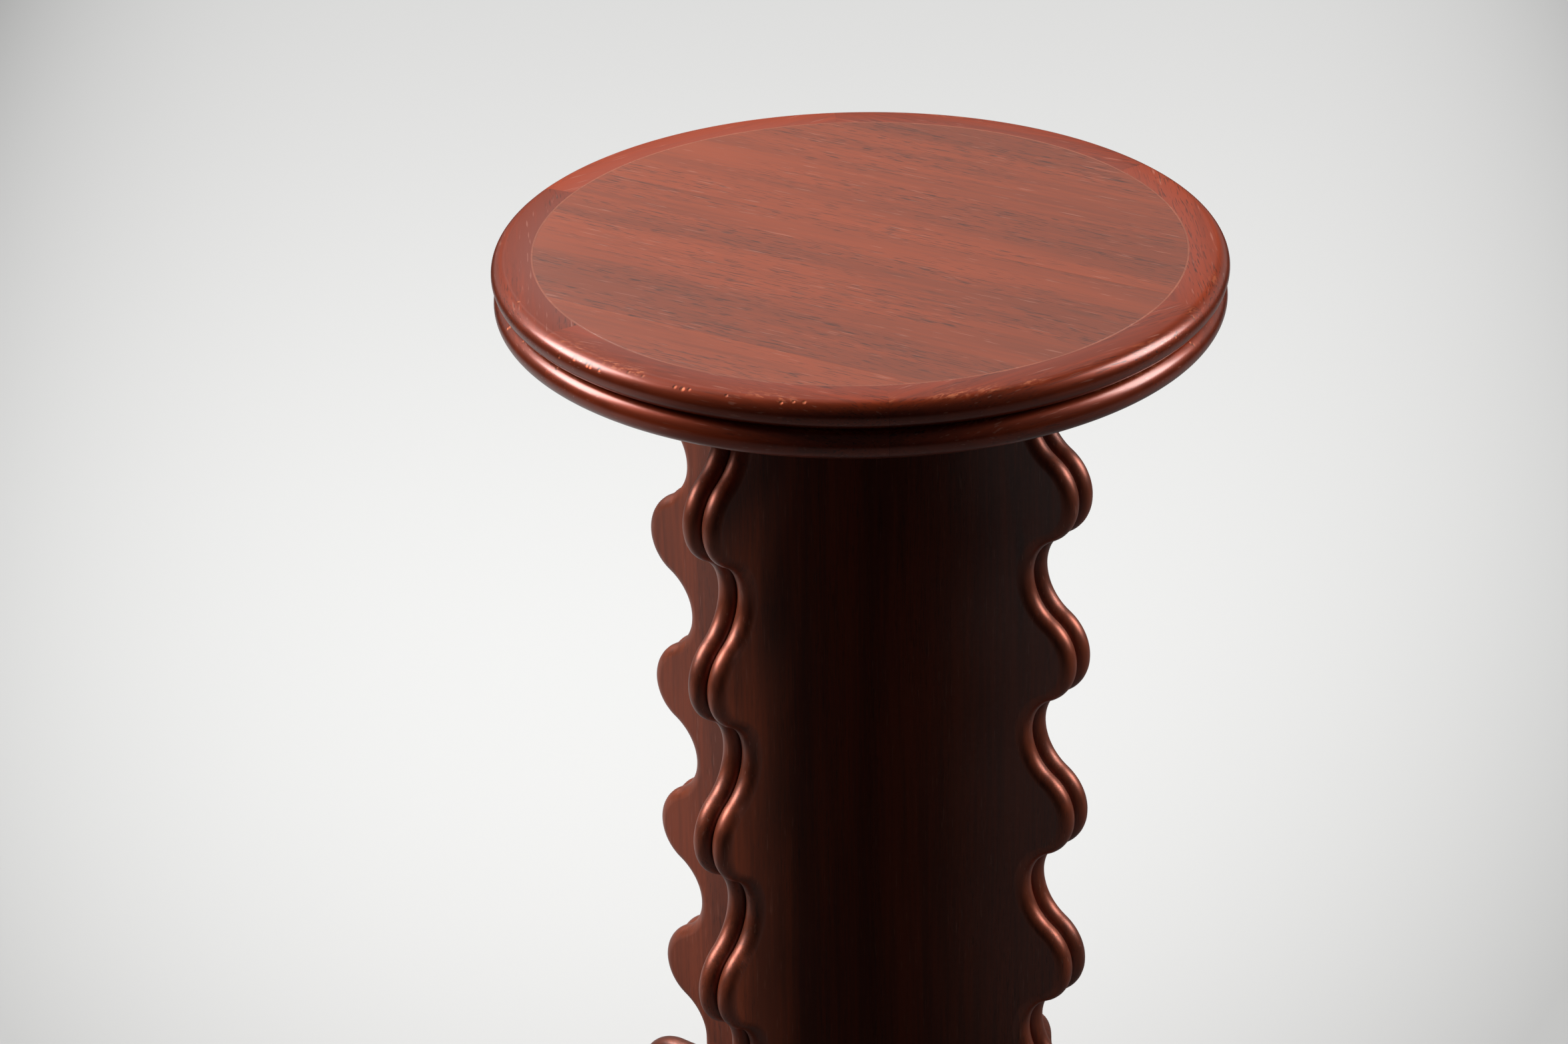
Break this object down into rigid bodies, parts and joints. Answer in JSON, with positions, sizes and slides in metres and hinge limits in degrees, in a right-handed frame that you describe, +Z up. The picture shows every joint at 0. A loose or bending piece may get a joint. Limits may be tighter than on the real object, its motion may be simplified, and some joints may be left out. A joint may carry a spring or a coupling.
{
  "type": "pedestal side table",
  "caption": "Small side table: a round double-beaded top on a cross-shaped column of scalloped, double-beaded fins that end in bracket feet.",
  "frame": {"origin": "on the floor, under the middle of the round top", "axes": "+Z up along the column, +X along the through fin, +Y along the back wing fin"},
  "size_m": [0.3362, 0.3362, 0.56],
  "materials": {
    "mahogany_field": "red-brown stained mahogany boards under satin lacquer",
    "mahogany_rim": "red-brown stained mahogany segments under satin lacquer",
    "mahogany_column": "dark red-brown stained mahogany under satin lacquer",
    "stringing": "pale wood line under the same lacquer",
    "inner_wood": "plain unpolished hardwood",
    "screw_steel": "plain steel wood screw",
    "felt": "dark brown pressed felt"
  },
  "bodies": {
    "root": {"top_board_front": "mahogany_field", "top_board_middle": "mahogany_field", "top_board_back": "mahogany_field", "rim_segment_1": "mahogany_rim", "rim_segment_2": "mahogany_rim", "rim_segment_3": "mahogany_rim", "rim_segment_4": "mahogany_rim", "rim_segment_5": "mahogany_rim", "rim_segment_6": "mahogany_rim", "through_fin": "mahogany_column", "wing_fin_front": "mahogany_column", "wing_fin_back": "mahogany_column", "foot_right": "mahogany_column", "foot_back": "mahogany_column", "foot_left": "mahogany_column", "foot_front": "mahogany_column", "corner_block_1": "inner_wood", "corner_block_2": "inner_wood", "corner_block_3": "inner_wood", "corner_block_4": "inner_wood", "rim_splines": "inner_wood", "wing_dowels": "inner_wood", "top_dowels": "inner_wood", "foot_dowels": "inner_wood", "stringing_ring": "stringing", "block_screws": "screw_steel", "foot_pads": "felt"}
  },
  "joints": []
}
